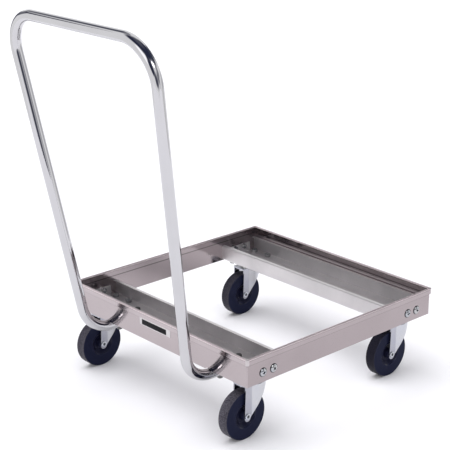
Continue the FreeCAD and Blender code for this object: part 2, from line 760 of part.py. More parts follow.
def kingpin(label):
    head_top = crown_under - S.swivel_gap - S.washer_thick
    return turned(label, "XZ_Plane", [
        (ZERO, head_top - S.pin_head_height), (S.pin_head, head_top - S.pin_head_height),
        (S.pin_head, head_top), (S.pin_radius, head_top), (S.pin_radius, channel_under),
        (S.pin_head, channel_under), (S.pin_head, channel_under + S.pin_rivet),
        (ZERO, channel_under + S.pin_rivet),
    ], "V_Axis")


def thrust_washer(label):
    top = crown_under - S.swivel_gap
    bore = S.pin_radius + S.pin_clear
    return turned(label, "XZ_Plane", [
        (bore, top - S.washer_thick), (S.pin_head, top - S.washer_thick),
        (S.washer_radius, top - S.washer_thick / 2), (S.washer_radius, top), (bore, top),
    ], "V_Axis")


def load_balls(label):
    ring = []
    for number in range(round(S.ball_count.number)):
        ball = doc.addObject("Part::Sphere", "Ball")
        bind(ball, "Radius", S.ball_diameter / 2)
        step = Size(360.0 * number / S.ball_count.number, f"{360.0 * number} / {S.ball_count.formula}")
        ring.append(place(ball, S.ball_circle * cosine(step), S.ball_circle * sine(step), ball_z))
    return group(ring, label)


def wheel_core(label):
    """Hub, web and rim of the wheel about its axle, with a sloping round recess in each side."""
    hub = S.wheel_width / 2 + S.tyre_clear - S.hub_play
    rim, web = S.core_width / 2, S.core_web / 2
    side = [
        (hub, S.hub_radius), (web, S.hub_radius + S.core_draft), (web, S.core_recess),
        (rim, S.core_recess + S.core_slope), (rim, S.core_radius),
    ]
    bore = S.bushing_od / 2 + S.bushing_clear
    outline = [(-hub, bore), (hub, bore)] + side + [(-x, radius) for x, radius in reversed(side)]
    return turned(label, "XY_Plane", outline, "H_Axis")


def tyre(label):
    """Hard rubber tyre about the axle, flat-sided and flat-treaded, with its edges rounded."""
    half, rim, shoulder = S.wheel_width / 2, S.core_width / 2, S.tyre_shoulder
    bore, tread = S.core_radius + S.bond_gap, S.wheel_diameter / 2
    return turned(label, "XY_Plane", [
        (-rim, bore), (rim, bore), (half, bore + S.tyre_bevel),
        (half, tread - shoulder, shoulder, 1), (half - shoulder, tread),
        (shoulder - half, tread, shoulder, 1), (-half, tread - shoulder), (-half, bore + S.tyre_bevel),
    ], "H_Axis")


def axle_rivet(label):
    """Tubular rivet through the fork and the bushing, with both ends rolled out over the cheeks."""
    end, head = cheek + S.rivet_height, S.rivet_head / 2
    side = [
        (end - S.rivet_depth, ZERO), (end, S.rivet_hollow), (end, head - S.rivet_bevel),
        (end - S.rivet_bevel, head), (cheek, head), (cheek, S.large_shank / 2),
    ]
    return turned(label, "XY_Plane", side + [(-x, radius) for x, radius in reversed(side)], "H_Axis")


def caster(name, x_way, y_way):
    """One caster's nine pieces, put under its corner of the tray."""
    x, y = kingpin_x * x_way, tray_y + kingpin_y * y_way
    axle_y = y - S.caster_trail
    for maker, part_name in ((top_plate, "top_plate"), (fork, "fork"), (kingpin, "kingpin"),
                             (thrust_washer, "thrust_washer")):
        label = f"{name}_{part_name}"
        keep(place(maker(label), x, y, ZERO), label)
    place(load_balls(f"{name}_load_balls"), x, y, ZERO)
    for maker, part_name in ((axle_rivet, "axle_rivet"), (wheel_core, "wheel_core"), (tyre, "tyre")):
        label = f"{name}_{part_name}"
        keep(place(maker(label), x, axle_y, axle_z), label)
    bushing_length = (cheek - S.fork_sheet) * 2
    sleeve = cut(cylinder(S.bushing_od / 2, bushing_length),
                 cylinder(S.large_shank / 2 + S.axle_clear, bushing_length))
    keep(place(sleeve, x - bushing_length / 2, axle_y, axle_z, TURN_TO_PLUS_X), f"{name}_axle_bushing")


for y_name, y_way in (("front", -1), ("rear", 1)):
    for x_name, x_way in (("left", -1), ("right", 1)):
        caster(f"{y_name}_{x_name}", x_way, y_way)

# Plate bolts: four up through each top plate and the channel's web, with nuts inside the channel
plate_bolt_length = S.plate_thick + S.channel_sheet + S.large_nut + S.thread_end
plate_bolts = []
plate_nuts = []
for x_way, y_way, across, along in itertools.product((1, -1), repeat=4):
    x = kingpin_x * x_way + S.plate_pitch_wide / 2 * across
    y = tray_y + kingpin_y * y_way + S.plate_pitch_long / 2 * along
    bolt = hex_bolt(S.large_shank, S.large_flats, S.large_head, plate_bolt_length)
    plate_bolts.append(place(bolt, x, y, plate_under, UPSIDE_DOWN))
    plate_nuts.append(place(hex_nut(S.large_shank, S.large_flats, S.large_nut), x, y, web_top))
group(plate_bolts, "plate_bolts")
group(plate_nuts, "plate_nuts")

# Check every feature and every piece, then write the pieces
doc.recompute()
for feature in doc.Objects:
    if "Invalid" in feature.State or "Error" in feature.State:
        raise RuntimeError(f"{feature.Label} did not build")
for piece in pieces:
    shape = piece.Shape
    if shape.isNull() or not shape.isValid() or not shape.Solids:
        raise RuntimeError(f"{piece.Label} has no valid solid")

tube_section = math.pi * S.tube_wall.number * (S.tube_od.number - S.tube_wall.number)
print(f"handle tube: section times length {tube_section * route_wire.Length:.0f} mm3")
print(f"handle tube: volume before its bolt holes {tube.Shape.Volume:.0f} mm3")
os.makedirs("parts", exist_ok=True)
for piece in pieces:
    piece.Shape.exportStep(f"parts/{piece.Label}.step")
print(f"{len(pieces)} pieces written")
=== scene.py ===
# Dish rack dolly in its finishes: a hemmed stainless tray frame, a bent chrome push handle and four
# swivel casters with rubber tyres, on a pale studio floor.
import math

import bpy
import numpy as np
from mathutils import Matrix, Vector


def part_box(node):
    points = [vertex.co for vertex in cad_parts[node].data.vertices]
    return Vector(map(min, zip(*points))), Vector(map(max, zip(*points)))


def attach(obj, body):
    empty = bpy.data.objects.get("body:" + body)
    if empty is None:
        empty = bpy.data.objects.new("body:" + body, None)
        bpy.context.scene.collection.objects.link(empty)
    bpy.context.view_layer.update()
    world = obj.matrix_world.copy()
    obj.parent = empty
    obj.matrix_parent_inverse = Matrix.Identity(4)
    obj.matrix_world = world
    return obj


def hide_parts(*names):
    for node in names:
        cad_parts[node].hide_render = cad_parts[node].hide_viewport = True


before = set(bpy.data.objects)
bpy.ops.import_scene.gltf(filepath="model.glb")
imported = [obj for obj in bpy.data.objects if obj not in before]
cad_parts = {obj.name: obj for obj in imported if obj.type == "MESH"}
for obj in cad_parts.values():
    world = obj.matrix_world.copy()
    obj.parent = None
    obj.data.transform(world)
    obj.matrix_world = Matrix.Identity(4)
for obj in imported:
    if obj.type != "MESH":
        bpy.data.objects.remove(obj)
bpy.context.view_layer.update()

# Tray walls: four strips of satin stainless sheet, sheared to size, with the top edge folded
# outwards and down into an open hem. They meet on the mitre at the corners, and the rolling grain
# runs along each strip.


def feed(tree, socket, value):
    """Gives a node's input another node's output, a colour (linear RGB) or a number."""
    if isinstance(value, bpy.types.NodeSocket):
        tree.links.new(value, socket)
    else:
        socket.default_value = (*value, 1) if isinstance(value, tuple) else value


def reckoned(tree, operation, *terms):
    """The result of a Math node whose terms are numbers or other nodes' outputs."""
    node = tree.nodes.new("ShaderNodeMath")
    node.operation = operation
    for socket, term in zip(node.inputs, terms):
        feed(tree, socket, term)
    return node.outputs[0]


def ranged(tree, value, start, end, low=0.0, high=1.0, clamp=True, curve="LINEAR"):
    """A value that goes from low to high as another goes from start to end."""
    node = tree.nodes.new("ShaderNodeMapRange")
    node.clamp = clamp
    node.interpolation_type = curve
    limits = {"From Min": start, "From Max": end, "To Min": low, "To Max": high}
    for label, number in limits.items():
        node.inputs[label].default_value = number
    tree.links.new(value, node.inputs["Value"])
    return node.outputs["Result"]


def mixed(tree, factor, low, high, blend="MIX"):
    """A colour that goes from low to high as the factor goes from 0 to 1, or with MULTIPLY from low
    to low times high."""
    node = tree.nodes.new("ShaderNodeMix")
    node.data_type = "RGBA"
    node.blend_type = blend
    for label, value in (("Factor", factor), ("A", low), ("B", high)):
        feed(tree, node.inputs[label], value)
    return node.outputs["Result"]


def object_axes(tree):
    """The X, Y and Z of a point on a piece, in metres."""
    place = tree.nodes.new("ShaderNodeTexCoord")
    axes = tree.nodes.new("ShaderNodeSeparateXYZ")
    tree.links.new(place.outputs["Object"], axes.inputs[0])
    return axes.outputs


def effect(name, inputs):
    """An empty shader node group with one output, Value; an input is (name, type, default)."""
    tree = bpy.data.node_groups.new(name, "ShaderNodeTree")
    for label, kind, default in inputs:
        socket = tree.interface.new_socket(label, in_out="INPUT", socket_type=kind)
        socket.default_value = default
    tree.interface.new_socket("Value", in_out="OUTPUT", socket_type="NodeSocketFloat")
    return tree, tree.nodes.new("NodeGroupInput"), tree.nodes.new("NodeGroupOutput")


def rolled_grain():
    """Fine lines along one direction: noise read at object coordinates multiplied by Stretch, which
    is small along the lines and large across them."""
    tree, given, result = effect("rolled_grain", [("Stretch", "NodeSocketVector", (1, 1, 1))])
    place = tree.nodes.new("ShaderNodeTexCoord")
    stretch = tree.nodes.new("ShaderNodeVectorMath")
    stretch.operation = "MULTIPLY"
    lines = tree.nodes.new("ShaderNodeTexNoise")
    for label, value in (("Scale", 1.0), ("Detail", 5.0), ("Roughness", 0.65)):
        lines.inputs[label].default_value = value
    tree.links.new(place.outputs["Object"], stretch.inputs[0])
    tree.links.new(given.outputs["Stretch"], stretch.inputs[1])
    tree.links.new(stretch.outputs[0], lines.inputs["Vector"])
    tree.links.new(lines.outputs["Fac"], result.inputs["Value"])
    return tree


def handling_marks():
    """Soft clouds where hands and cloths have been: noise of a given scale, its middle range spread
    from 0 to 1."""
    tree, given, result = effect("handling_marks", [("Scale", "NodeSocketFloat", 12.0)])
    place = tree.nodes.new("ShaderNodeTexCoord")
    cloud = tree.nodes.new("ShaderNodeTexNoise")
    for label, value in (("Detail", 4.0), ("Distortion", 0.6)):
        cloud.inputs[label].default_value = value
    tree.links.new(place.outputs["Object"], cloud.inputs["Vector"])
    tree.links.new(given.outputs["Scale"], cloud.inputs["Scale"])
    tree.links.new(ranged(tree, cloud.outputs["Fac"], 0.3, 0.7), result.inputs["Value"])
    return tree


def painted_fold_shading():
    """Painted light and shade by height on a hemmed wall: painted shade under the hem's edge, a hem
    painted lighter with a faint painted dark line where its bend starts, and a rim painted brighter
    as a painted highlight."""
    tree, _, result = effect("painted_fold_shading", [])
    below_hem, above_rim = 0.170, 0.190
    # Greys of the bands: the plain sheet, the painted shade under the hem, the hem and its bend
    # line painted for the light on the fold, and the rim's painted highlight.
    sheet, painted_shade, hem, bend, rim = 0.5, 0.2, 0.535, 0.45, 0.85
    bands = tree.nodes.new("ShaderNodeValToRGB")
    stops = bands.color_ramp.elements
    stops[0].color, stops[1].color = (sheet, sheet, sheet, 1), (rim, rim, rim, 1)
    for position, grey in ((0.09, sheet), (0.14, painted_shade), (0.19, painted_shade), (0.24, hem), (0.62, hem),
                           (0.66, bend), (0.72, bend), (0.77, rim)):
        stops.new(position).color = (grey, grey, grey, 1)
    height = ranged(tree, object_axes(tree)["Z"], below_hem, above_rim)
    tree.links.new(height, bands.inputs["Fac"])
    tree.links.new(bands.outputs["Color"], result.inputs["Value"])
    return tree


def add_effect(tree, group, **values):
    """A group placed in a material with its own values; gives the group's output socket."""
    node = tree.nodes.new("ShaderNodeGroup")
    node.node_tree = group
    for label, value in values.items():
        node.inputs[label].default_value = value
    return node.outputs["Value"]


def finish(name, metallic):
    """A new material, its node tree and its Principled shader."""
    material = bpy.data.materials.new(name)
    material.use_nodes = True
    shader = material.node_tree.nodes["Principled BSDF"]
    shader.inputs["Metallic"].default_value = metallic
    return material, material.node_tree, shader


def vary_roughness(tree, shader, mask, low, high, clamp=True):
    """Roughness goes from low to high as the mask goes from 0 to 1, and on beyond without clamp."""
    feed(tree, shader.inputs["Roughness"], ranged(tree, mask, 0.0, 1.0, low, high, clamp))


def emboss(tree, shader, height, depth):
    """A height from 0 to 1 raised by depth metres, as a bump in the shader's normal."""
    bump = tree.nodes.new("ShaderNodeBump")
    bump.inputs["Strength"].default_value = 1.0
    bump.inputs["Distance"].default_value = depth
    tree.links.new(height, bump.inputs["Height"])
    tree.links.new(bump.outputs["Normal"], shader.inputs["Normal"])


def dress(node, material):
    """A CAD node shown in a material."""
    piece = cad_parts[node]
    piece.data.materials.clear()
    piece.data.materials.append(material)


GRAIN, MARKS, FOLD_SHADING = rolled_grain(), handling_marks(), painted_fold_shading()


def satin_stainless(name, stretch, dark, light):
    """Cold-rolled sheet: warm grey, softly mirroring, with faint lines and clouds in its polish and
    a rubbed, duller rim. Its colour is multiplied by the painted light and shade of the hem's
    bands, the rim's painted highlight among them."""
    material, tree, shader = finish(name, 1.0)
    lines = add_effect(tree, GRAIN, Stretch=stretch)
    fold_shading = add_effect(tree, FOLD_SHADING)
    tone = mixed(tree, add_effect(tree, MARKS, Scale=9.0), dark, light)
    # The colour times the painted light and shade of the hem's bands by height.
    feed(tree, shader.inputs["Base Color"], mixed(tree, 1.0, tone, fold_shading, "MULTIPLY"))
    rubbed = ranged(tree, fold_shading, 0.6, 0.8, 0.0, 4.0)
    vary_roughness(tree, shader, reckoned(tree, "ADD", lines, rubbed), 0.07, 0.18, clamp=False)
    emboss(tree, shader, lines, 0.00002)
    return material


wall_across = satin_stainless("satin_sheet_across", (6, 900, 900), dark=(0.868, 0.764, 0.777),
                              light=(0.939, 0.835, 0.851))
# The side walls' copy is painted about a sixth darker than the front and rear walls', as painted
# shade on the sides.
wall_along_painted_darker = satin_stainless("satin_sheet_along_painted_darker", (900, 6, 900), dark=(0.726, 0.634, 0.647),
                             light=(0.788, 0.69, 0.705))
for wall in ("front_wall", "rear_wall"):
    dress(wall, wall_across)
for wall in ("left_wall", "right_wall"):
    dress(wall, wall_along_painted_darker)

# Corner welds: beads of weld metal that close the hem at each corner and run down the mitre, ground
# and buffed brighter than the sheet, with the short scratches of the grinding disc.
SHARP = math.radians(32)  # edges that turn by more than this stay crisp


def skin_of_rings(name, bodies, looped):
    """A closed mesh of one or more bodies, each an array of rings (ring, turn, xyz): quads join
    neighbouring rings, and with looped the last ring joins the first, otherwise flat caps close
    both ends. Each body's winding is turned so that the volume it encloses is positive, which
    points its faces outwards."""
    points, faces, start = [], [], 0
    for rings in bodies:
        rows, turns = rings.shape[:2]
        steps = rows if looped else rows - 1
        row, turn = np.meshgrid(np.arange(steps), np.arange(turns), indexing="ij")
        after, beside = (row + 1) % rows, (turn + 1) % turns
        corners = ((row, turn), (row, beside), (after, beside), (after, turn))
        quads = np.stack([r * turns + t for r, t in corners], -1).reshape(-1, 4)
        flat = rings.reshape(-1, 3)
        spans = flat[quads] - flat.mean(0)
        normals = np.cross(spans[:, 2] - spans[:, 0], spans[:, 3] - spans[:, 1])
        inwards = (spans.mean(1) * normals).sum() < 0
        faces += ((quads[:, ::-1] if inwards else quads) + start).tolist()
        if not looped:
            ends = [np.arange(turns)[::-1], np.arange(turns) + (rows - 1) * turns]
            faces += [((end[::-1] if inwards else end) + start).tolist() for end in ends]
        points.append(flat)
        start += len(flat)
    mesh = bpy.data.meshes.new(name)
    mesh.from_pydata(np.concatenate(points).tolist(), [], faces)
    mesh.polygons.foreach_set("use_smooth", np.ones(len(faces), bool))
    mesh.set_sharp_from_angle(angle=SHARP)
    piece = bpy.data.objects.new(name, mesh)
    bpy.context.scene.collection.objects.link(piece)
    return piece


def put(piece, body, material):
    """A new piece in its finish, riding on its body."""
    piece.data.materials.append(material)
    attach(piece, body)


def bead_rings(x, y, low, high, radius, rows=120, turns=24):
    """A bead up one corner: ring k is a circle about a line drawn in from the corner at (x, y), and
    its radius swells a little with the sine of the height, like the puddles of a weld."""
    swell, puddle, inset = 0.03, 0.0026, 0.6 * radius
    z = np.linspace(low, high, rows)[:, None]
    angle = np.linspace(0, 2 * np.pi, turns, endpoint=False)
    reach = radius * (1 + swell * np.sin(z * 2 * np.pi / puddle))
    middle = (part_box("front_wall")[0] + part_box("rear_wall")[1]) / 2
    return np.stack([x - inset * np.sign(x - middle.x) + reach * np.cos(angle),
                     y - inset * np.sign(y - middle.y) + reach * np.sin(angle),
                     np.broadcast_to(z, (rows, turns))], -1)


def vary_colour(tree, shader, mask, low, high):
    """Base Color goes from low to high as the mask goes from 0 to 1."""
    feed(tree, shader.inputs["Base Color"], mixed(tree, mask, low, high))


material, tree, shader = finish("ground_weld", 1.0)
scratches = add_effect(tree, GRAIN, Stretch=(1500, 1500, 220))
vary_colour(tree, shader, scratches, (0.50, 0.465, 0.47), (0.60, 0.56, 0.565))
vary_roughness(tree, shader, scratches, 0.18, 0.4)
emboss(tree, shader, scratches, 0.00006)
dress("corner_welds", material)
seam_radius, seam_lap = 0.0013, 0.0004
seam_low, seam_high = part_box("front_wall")[0].z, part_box("corner_welds")[0].z + seam_lap
corner_x, corner_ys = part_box("front_wall")[1].x, [corner.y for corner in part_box("right_wall")]
seams = skin_of_rings("corner_seams", [
    bead_rings(x, y, seam_low, seam_high, seam_radius)
    for x in (corner_x, -corner_x) for y in corner_ys], looped=False)
put(seams, "frame", wall_across)

# Cross channels: lipped channels roll-formed from mill-finish stainless strip, screwed between the
# side walls. They carry the load on their lips and the casters and the handle under their webs.
material, tree, shader = finish("mill_finish_strip", 1.0)
lines = add_effect(tree, GRAIN, Stretch=(5, 600, 600))
clouds = add_effect(tree, MARKS, Scale=14.0)
vary_colour(tree, shader, clouds, (0.66, 0.64, 0.645), (0.76, 0.735, 0.74))
vary_roughness(tree, shader, lines, 0.38, 0.62)
emboss(tree, shader, lines, 0.00003)
for channel in ("front_channel", "rear_channel"):
    dress(channel, material)

# Blank plate: a thin foil plate stuck on the middle of the front wall under the hem, with a bright
# border round a black enamelled panel and nothing printed on it.
plate_low, plate_high = (-0.051, 0.1575), (0.046, 0.1745)
plate_thick, plate_corner = 0.0006, 0.0012
panel_middle, panel_half = (-0.005, 0.1652), (0.0385, 0.0058)
hem_proud = 0.0035


def plate_rings(low, high, face_y, thick, corner, turns=48):
    """A rounded rectangle in the XZ plane carried out from the wall's face: its outline is corner
    circles, centre plus corner radius times (cos a, sin a), and the rings lie on the face, where
    the sides end and, drawn in a little, at the full thickness."""
    low, high = np.array(low), np.array(high)
    sides_end, drawn = 0.7 * thick, (0.993, 0.96)
    angle = np.linspace(0, 2 * np.pi, turns, endpoint=False)
    way = np.stack([np.cos(angle), np.sin(angle)], -1)
    outline = np.where(way > 0, high - corner, low + corner) + corner * way
    middle = (low + high) / 2
    drawn_in = middle + (outline - middle) * drawn
    layers = ((outline, 0.0), (outline, sides_end), (drawn_in, thick))
    return np.stack([np.insert(layer, 1, face_y - depth, axis=1) for layer, depth in layers])


front_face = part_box("front_wall")[0].y + hem_proud
plate = skin_of_rings("blank_plate", [
    plate_rings(plate_low, plate_high, front_face, plate_thick, plate_corner)], looped=False)
material, tree, shader = finish("foil_plate", 1.0)
shader.inputs["Specular IOR Level"].default_value = 0.12
axes = object_axes(tree)
in_width, in_height = (reckoned(tree, "COMPARE", axes[axis], middle, half)
                       for axis, middle, half in zip("XZ", panel_middle, panel_half))
panel = reckoned(tree, "MULTIPLY", in_width, in_height)
vary_colour(tree, shader, panel, (0.62, 0.6, 0.6), (0.008, 0.008, 0.01))
vary_roughness(tree, shader, panel, 0.28, 0.42)
feed(tree, shader.inputs["Metallic"], reckoned(tree, "SUBTRACT", 1.0, panel))
put(plate, "frame", material)

# Wall screws: domed-head screws with a cross recess, driven from outside through the side walls and
# the tabs of the channels. Bright zinc plate, painted near black in the recess and round the head's
# edge as painted shade, with nuts inside.
head_radius, shank_radius, dome_height = 0.0095, 0.00315, 0.004
screw_length, screw_pitch = 0.0107, 0.028
turns_of_driver = (0.3, 0.75, 0.1, 1.1, 0.5, 0.9, 0.2, 0.65)  # how each recess lies, in radians
TIP = 0.0002  # radius of the small flat that closes a turned end


def zinc_plate(name, dull, blue=(0.60, 0.625, 0.64), straw=(0.68, 0.67, 0.63)):
    """Bright zinc plate: bluish white metal with faint yellow passivation in clouds."""
    material, tree, shader = finish(name, 1.0)
    vary_colour(tree, shader, add_effect(tree, MARKS, Scale=38.0), blue, straw)
    vary_roughness(tree, shader, add_effect(tree, MARKS, Scale=160.0), dull, dull + 0.05)
    emboss(tree, shader, add_effect(tree, MARKS, Scale=420.0), 0.000003)
    return material


def zinc_with_painted_shade(*plate):
    """Zinc plate with painted shade: Base Color goes to near black as a piece's painted shade goes
    from 0 to 1."""
    material = zinc_plate(*plate)
    tree = material.node_tree
    base = tree.nodes["Principled BSDF"].inputs["Base Color"]
    shade_attribute = tree.nodes.new("ShaderNodeAttribute")
    shade_attribute.attribute_name = "painted_shade"
    unshaded = base.links[0].from_socket
    feed(tree, base, mixed(tree, shade_attribute.outputs["Fac"], unshaded, (0.035, 0.036, 0.045)))
    return material


def set_painted_shade(piece, painted_shade):
    """The painted shade at each vertex of a piece, from 0 to 1."""
    layer = piece.data.attributes.new("painted_shade", "FLOAT", "POINT")
    layer.data.foreach_set("value", painted_shade.astype(np.float32))


def turned_rings(profile, turns, radius_of=np.ones_like):
    """A profile of (along, radius) carried round the x axis: the ring at (a, r) is (a, r cos t,
    r sin t). With radius_of(t), r is scaled by it, as for a hexagon."""
    along, radius = np.asarray(profile, float).T
    angle = np.linspace(0, 2 * np.pi, turns, endpoint=False)
    reach = radius[:, None] * radius_of(angle)
    along = np.broadcast_to(along[:, None], reach.shape)
    return np.stack([along, reach * np.cos(angle), reach * np.sin(angle)], -1)


def screw_rings(shank, length, head, dome):
    """A wall screw along x with its head on x = 0: the shank turned behind it, and in front a land
    and a spherical cap, x = sqrt(b^2 - r^2) - (b - dome), less a cross recess that is deepest in
    the middle. Also gives the painted shade, in the recess and round the head's edge."""
    land, arm, reach, depth, deepest = 0.0004, 0.0011, 0.0046, 0.0019, 1.1
    arm_slope, end_slope, cap_start = 0.0004, 0.0009, 0.0006
    edge_start, edge_fade = 0.8, 0.12
    cap_steps, cap_middle = 26, 0.004
    ball = (head * head + dome * dome) / (2 * dome)
    radius = head * np.sin(np.linspace(np.pi / 2, cap_middle, cap_steps))
    cap = np.sqrt(ball * ball - radius * radius) - (ball - dome) + land * (radius / head)
    profile = [(-length, TIP), (-length, shank), (0, shank), (0, head)]
    rings = turned_rings(profile + list(zip(cap, radius)), turns=96)
    y, z = np.abs(rings[..., 1]), np.abs(rings[..., 2])
    aside, along = np.minimum(y, z), np.maximum(y, z)
    slot = np.clip((arm - aside) / arm_slope, 0, 1) * np.clip((reach - along) / end_slope, 0, 1)
    slot = np.where(rings[..., 0] > cap_start, slot, 0)
    rings[..., 0] -= depth * slot * (deepest - along / reach)
    # Painted shade: full in the cross recess, rising towards the head's edge.
    edge = np.clip((np.hypot(y, z) / head - edge_start) / edge_fade, 0, 1)
    return rings, np.maximum(slot, edge)


def moved(rings, place, x_axis, y_axis):
    """Rings drawn along x put at a place, with their x and y axes along two given directions."""
    turn = np.stack([x_axis, y_axis, np.cross(x_axis, y_axis)])
    return rings @ turn + np.asarray(place)


zinc = zinc_with_painted_shade("bright_zinc_small", 0.1, (0.44, 0.46, 0.50), (0.50, 0.50, 0.495))
screw_low, screw_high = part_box("channel_screws")
screw_z = (screw_low.z + screw_high.z) / 2
wall_face = screw_high.x - dome_height
front_row, rear_row = screw_low.y + head_radius, screw_high.y - head_radius
screw_rows = (front_row, front_row + screw_pitch, rear_row - screw_pitch, rear_row)
screw_places = [(side, row) for side in (1, -1) for row in screw_rows]
rings, painted_shade = screw_rings(shank_radius, screw_length, head_radius, dome_height)
piece = skin_of_rings("wall_screws", [
    moved(rings, (side * wall_face, row, screw_z), np.array([side, 0, 0]),
          np.array([0, math.cos(lay), math.sin(lay)]))
    for (side, row), lay in zip(screw_places, turns_of_driver)], looped=False)
set_painted_shade(piece, np.tile(painted_shade.ravel(), len(screw_places)))
put(piece, "frame", zinc)
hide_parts("channel_screws")

# Nuts and bolts: cold-headed hexagons with turned chamfers, zinc plated. Quarter-inch ones hold the
# channels and the handle, larger ones the caster plates.
small_flats, small_head, nut_height, nut_bore = 0.0111, 0.0043, 0.0056, 0.0032
large_flats, large_head, large_shank, large_bore = 0.0127, 0.0053, 0.00395, 0.004
UP, DOWN, SPIN = np.array([0, 0, 1.0]), np.array([0, 0, -1.0]), np.array([1.0, 0, 0])


def hexagon(angle):
    """Radius of a hexagon of unit half width: 1 / cos of the angle from the nearest flat."""
    return 1 / np.cos((angle + np.pi / 6) % (np.pi / 3) - np.pi / 6)


def hexagon_rings(flats, along, depth, first, last):
    """Hexagons at places along x, cut back by a chamfer cone, r = min(hexagon, cone), which widens
    with the depth below the chamfered end. The first and last rings are circles of given radius."""
    half, cone_start, cone_slope = flats / 2, 0.96, 1.9
    rings = turned_rings([(a, half) for a in along], turns=96, radius_of=hexagon)
    reach = np.hypot(rings[..., 1], rings[..., 2])
    radius = np.minimum(reach, (half * cone_start + depth * cone_slope)[:, None])
    radius[0], radius[-1] = first, last
    rings[..., 1:] *= (radius / reach)[..., None]
    return rings


def nut_rings(flats, height, bore):
    """A nut along x from 0 to height: a hexagon chamfered at both ends, and the bore closes the
    loop."""
    along = np.array([0, 0, 0.06, 0.12, 0.2, 0.8, 0.88, 0.94, 1, 1]) * height
    return hexagon_rings(flats, along, np.minimum(along, height - along), bore, bore)


def bolt_rings(flats, head, shank, length):
    """A bolt along x: the chamfered head from -head to 0, then the shank to length, whose last
    turns are threaded: r is the shank radius less a triangle wave of (x / pitch - turn)."""
    threaded, pitch, step, groove = 0.0095, 0.00127, 0.00021, 0.14
    point, head_middle = 0.85, 0.0003
    top = np.array([-1, -1, -0.94, -0.86, -0.75, 0, 0]) * head
    rings = hexagon_rings(flats, top, top + head, head_middle, shank)
    plain = length - threaded
    profile = [(a, shank) for a in np.append(plain, np.arange(plain, length, step))]
    thread = turned_rings(profile + [(length, shank * point), (length, TIP)], turns=96)
    turn = np.arctan2(thread[..., 2], thread[..., 1]) / (2 * np.pi)
    wave = np.abs((thread[..., 0] / pitch - turn) % 1 - 0.5) * 2
    wave[[0, -2, -1]] = 0
    thread[..., 1:] *= (1 - groove * wave)[..., None]
    return np.concatenate([rings, thread])


zinc_hexagons = zinc_plate("bright_zinc_hexagons", 0.2, (0.40, 0.41, 0.43), (0.46, 0.455, 0.44))
# The handle's bolts and nuts get a darker copy of the zinc, as painted shade under the tray.
dull_shaded_hexagons = zinc_plate("dull_zinc_hexagons_painted_dark", 0.3, (0.12, 0.12, 0.13), (0.16, 0.16, 0.155))


def fasteners(name, bodies, node, looped, material=zinc_hexagons):
    """Like fasteners as one piece on the frame, which stands for their CAD node."""
    piece = skin_of_rings(name, bodies, looped)
    put(piece, "frame", material)
    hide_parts(node)


tab_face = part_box("channel_nuts")[1].x
small_nut = nut_rings(small_flats, nut_height, nut_bore)
fasteners("channel_lock_nuts", [
    moved(small_nut, (side * tab_face, row, screw_z), np.array([-side, 0, 0]),
          np.array([0, 1.0, 0]))
    for side, row in screw_places], "channel_nuts", looped=True)

handle_low, handle_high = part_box("handle_tube")
foot_x, foot_edge, foot_pitch = 0.1599, 0.022, 0.05
bolt_rows = (handle_high.y - foot_edge, handle_high.y - foot_edge - foot_pitch)
foot_bolts = [(side * foot_x, row) for side in (1, -1) for row in bolt_rows]
bolt_low, bolt_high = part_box("handle_bolts")
web_top = bolt_high.z - small_head
small_bolt = bolt_rings(small_flats, small_head, shank_radius, web_top - bolt_low.z)
fasteners("handle_foot_bolts", [
    moved(small_bolt, (x, y, web_top), DOWN, SPIN) for x, y in foot_bolts],
    "handle_bolts", looped=False, material=dull_shaded_hexagons)
fasteners("handle_foot_nuts", [
    moved(small_nut, (x, y, handle_low.z), DOWN, SPIN) for x, y in foot_bolts],
    "handle_nuts", looped=True, material=dull_shaded_hexagons)

CASTERS = ("front_left", "front_right", "rear_left", "rear_right")
half_pitch_x, half_pitch_y = 0.02225, 0.0365
kingpins = [sum(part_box(f"{name}_kingpin"), Vector()) / 2 for name in CASTERS]
plate_bolts = [(pin.x + way_x * half_pitch_x, pin.y + way_y * half_pitch_y)
               for pin in kingpins for way_x in (1, -1) for way_y in (1, -1)]
plate_bolt_low, plate_bolt_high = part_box("plate_bolts")
plate_nut_low, plate_nut_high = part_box("plate_nuts")
plate_under = plate_bolt_low.z + large_head
large_bolt = bolt_rings(large_flats, large_head, large_shank, plate_bolt_high.z - plate_under)
large_nut = nut_rings(large_flats, plate_nut_high.z - plate_nut_low.z, large_bore)
fasteners("caster_plate_bolts", [
    moved(large_bolt, (x, y, plate_under), UP, SPIN) for x, y in plate_bolts],
    "plate_bolts", looped=False)
fasteners("caster_plate_nuts", [
    moved(large_nut, (x, y, plate_nut_low.z), UP, SPIN) for x, y in plate_bolts],
    "plate_nuts", looped=True)

# Push handle: one length of 22 mm steel tube, bent cold at the feet and at both ends of the grip,
# then polished and chrome plated. The feet run back under the front channel and are bolted through.
tube_radius, tube_wall, foot_bend, grip_bend = 0.0111, 0.0016, 0.0667, 0.0762
foot_corner_y, grip_x = -0.22885, 0.2178


